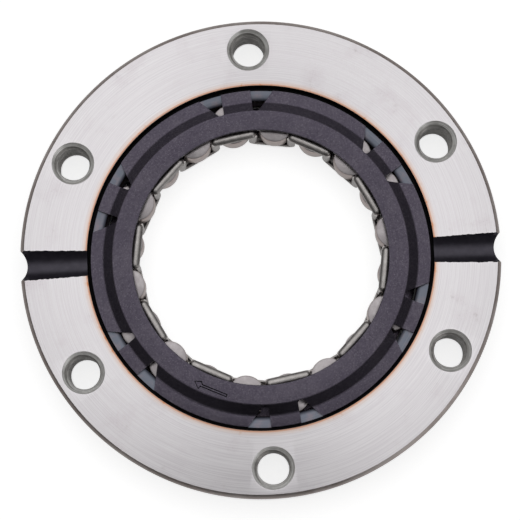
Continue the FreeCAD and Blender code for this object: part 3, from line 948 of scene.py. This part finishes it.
def spring_leg(bm, low, high):
    """Upright leg midway between two bars: strip curved across its width, hollow side outwards."""
    reach = SPRING_INNER / math.cos(math.radians(HALF_PITCH)) + LEG_CURVE
    half = math.degrees(math.asin(LEG_WIDTH / 2 / LEG_CURVE))
    turns = [180 + half * (step / 6 - 1) for step in range(13)]
    hollow = [polar(LEG_CURVE - SPRING_STRIP, turn) for turn in reversed(turns)]
    outline = [point + Vector((reach, 0, 0)) * MM for point in [polar(LEG_CURVE, turn) for turn in turns] + hollow]
    return raised(bm, [Matrix.Rotation(math.radians(HALF_PITCH), 3, "Z") @ point for point in outline], low, high)


def make_spring():
    """Closed meander: front bars over every second sprag, rear bars behind the others, and legs between."""
    whole = bmesh.new()
    for index in range(SPRAG_COUNT):
        angle = SPRAG_FIRST_ANGLE + SPRAG_PITCH * index
        bm = bmesh.new()
        spring_bar(bm, index % 2 == 1)
        spring_leg(bm, SPRING_LOW.z / MM + LEG_END, SPRING_HIGH.z / MM - LEG_END)
        bmesh.ops.rotate(bm, cent=(0, 0, 0), matrix=Matrix.Rotation(math.radians(angle), 3, "Z"), verts=bm.verts)
        add_mesh(whole, tidy(bm))
    spring = as_object("spring_band", whole, [SPRING_STEEL])
    return placed(smooth(spring, 40), "cage", "spring_steel", "energising_spring")


# Scene


def make_camera():
    """Camera about 460 mm away and 7 degrees off the axis."""
    about_x, about_y, about_z = (math.radians(degrees) for degrees in CAMERA_TURNS)
    turn = Matrix.Rotation(about_x, 3, "X") @ Matrix.Rotation(about_y, 3, "Y")
    turn = turn @ Matrix.Rotation(about_z, 3, "Z")
    place = turn.transposed() @ (Vector(CAMERA_PLACE) * MM) + Vector((0, 0, FACE_Z * MM))
    data = bpy.data.cameras.new("camera")
    data.lens = CAMERA_LENS
    data.sensor_width = CAMERA_SENSOR
    data.clip_start = 0.05
    data.clip_end = 10.0
    camera = bpy.data.objects.new("camera", data)
    camera.matrix_world = Matrix.Translation(place) @ turn.transposed().to_4x4()
    bpy.context.scene.collection.objects.link(camera)
    bpy.context.scene.camera = camera


def make_floor():
    """Plain floor, white to the camera, with a faint shadow of the clutch; painted shade dims its glow where the
    clutch covers it closely, so its narrowest gaps look dark.
    """
    bm = bmesh.new()
    bmesh.ops.create_grid(bm, x_segments=1, y_segments=1, size=FLOOR_SIZE)
    material = bpy.data.materials.new("floor_white")
    material.use_nodes = True
    tree = material.node_tree
    tree.nodes.clear()
    rays = put(tree, "ShaderNodeLightPath").outputs
    mirrored = sums(tree, "MAXIMUM", rays["Is Glossy Ray"], rays["Is Transmission Ray"])
    seen = sums(tree, "MAXIMUM", sums(tree, "MULTIPLY", rays["Is Camera Ray"], FLOOR_GLOW_SEEN),
                sums(tree, "MULTIPLY", mirrored, FLOOR_GLOW_MIRRORED))
    # painted shade: the glow is cut where ambient occlusion finds the floor closely covered, as in the narrow gaps
    # under the cage
    cover = put(tree, "ShaderNodeAmbientOcclusion", {"Distance": GAP_REACH * MM}, samples=12).outputs["AO"]
    seen = sums(tree, "MULTIPLY", seen, stepped(tree, cover, GAP_DARK, GAP_LIGHT))
    glow = put(tree, "ShaderNodeEmission", {"Color": (1, 1, 1, 1), "Strength": seen})
    matt = put(tree, "ShaderNodeBsdfDiffuse", {"Color": (FLOOR_GREY, FLOOR_GREY, FLOOR_GREY, 1)})
    both = put(tree, "ShaderNodeAddShader", {0: glow.outputs[0], 1: matt.outputs[0]})
    put(tree, "ShaderNodeOutputMaterial", {"Surface": both.outputs[0]})
    floor = as_object("floor", bm, [material])


def patch_of_sky(tree, way, centre, edge, full):
    """1 inside a round patch of the dome about a direction, 0 outside its soft edge, both in degrees."""
    middle = Vector(centre).normalized()
    near = put(tree, "ShaderNodeVectorMath", {0: way, 1: middle}, operation="DOT_PRODUCT").outputs["Value"]
    return stepped(tree, near, math.cos(math.radians(edge)), math.cos(math.radians(full)))


def make_light():
    """Soft studio dome: brightest past the top of the picture, dim towards the horizon and round the camera."""
    world = bpy.data.worlds.new("studio")
    bpy.context.scene.world = world
    world.use_nodes = True
    tree = world.node_tree
    tree.nodes.clear()
    way = put(tree, "ShaderNodeTexCoord").outputs["Generated"]
    parts = put(tree, "ShaderNodeSeparateXYZ", {0: way}).outputs
    crest = Vector(DOME_CREST).normalized()
    height = put(tree, "ShaderNodeVectorMath", {0: way, 1: crest}, operation="DOT_PRODUCT").outputs["Value"]
    strength = stepped(tree, height, DOME_EDGE, DOME_FULL, DOME_LOW, DOME_HIGH)
    aside = sums(tree, "ABSOLUTE", sums(tree, "ADD", parts[0], 0.03))
    behind = sums(tree, "MULTIPLY", stepped(tree, aside, 0.09, 0.2, 1.0, 0.0),
                  stepped(tree, parts[1], -0.1, 0.01, 0.95, 0.0))
    strength = sums(tree, "MULTIPLY", strength, sums(tree, "SUBTRACT", 1.0, behind))
    key = patch_of_sky(tree, way, KEY_WAY, 22, 5)
    strength = sums(tree, "ADD", strength, sums(tree, "MULTIPLY", key, KEY_STRENGTH))
    low_glow = patch_of_sky(tree, way, LOW_GLOW_WAY, 28, 8)
    strength = sums(tree, "ADD", strength, sums(tree, "MULTIPLY", low_glow, LOW_GLOW_STRENGTH))
    sky = put(tree, "ShaderNodeBackground", {"Color": (1, 1, 1, 1), "Strength": strength})
    put(tree, "ShaderNodeOutputWorld", {"Surface": sky.outputs[0]})


def sprag_pivots():
    """Pivot of every sprag, from its joint."""
    pivots = {j["child"]: Vector(j["pos_m"]) for j in frame["joints"]}
    return {name: pivots[name] for name in sorted(pivots) if name.startswith("sprag_")}


PIVOTS = sprag_pivots()
SPRAG_FIRST_ANGLE = math.degrees(math.atan2(PIVOTS["sprag_01"].y, PIVOTS["sprag_01"].x))

make_camera()
make_floor()
make_light()
make_race()
make_cage_plate()
make_cage_comb()
make_rear_ring()
for sprag_name, sprag_pivot in PIVOTS.items():
    make_sprag(sprag_name, sprag_pivot)
make_spring()

bpy.context.scene.view_settings.view_transform = "Standard"
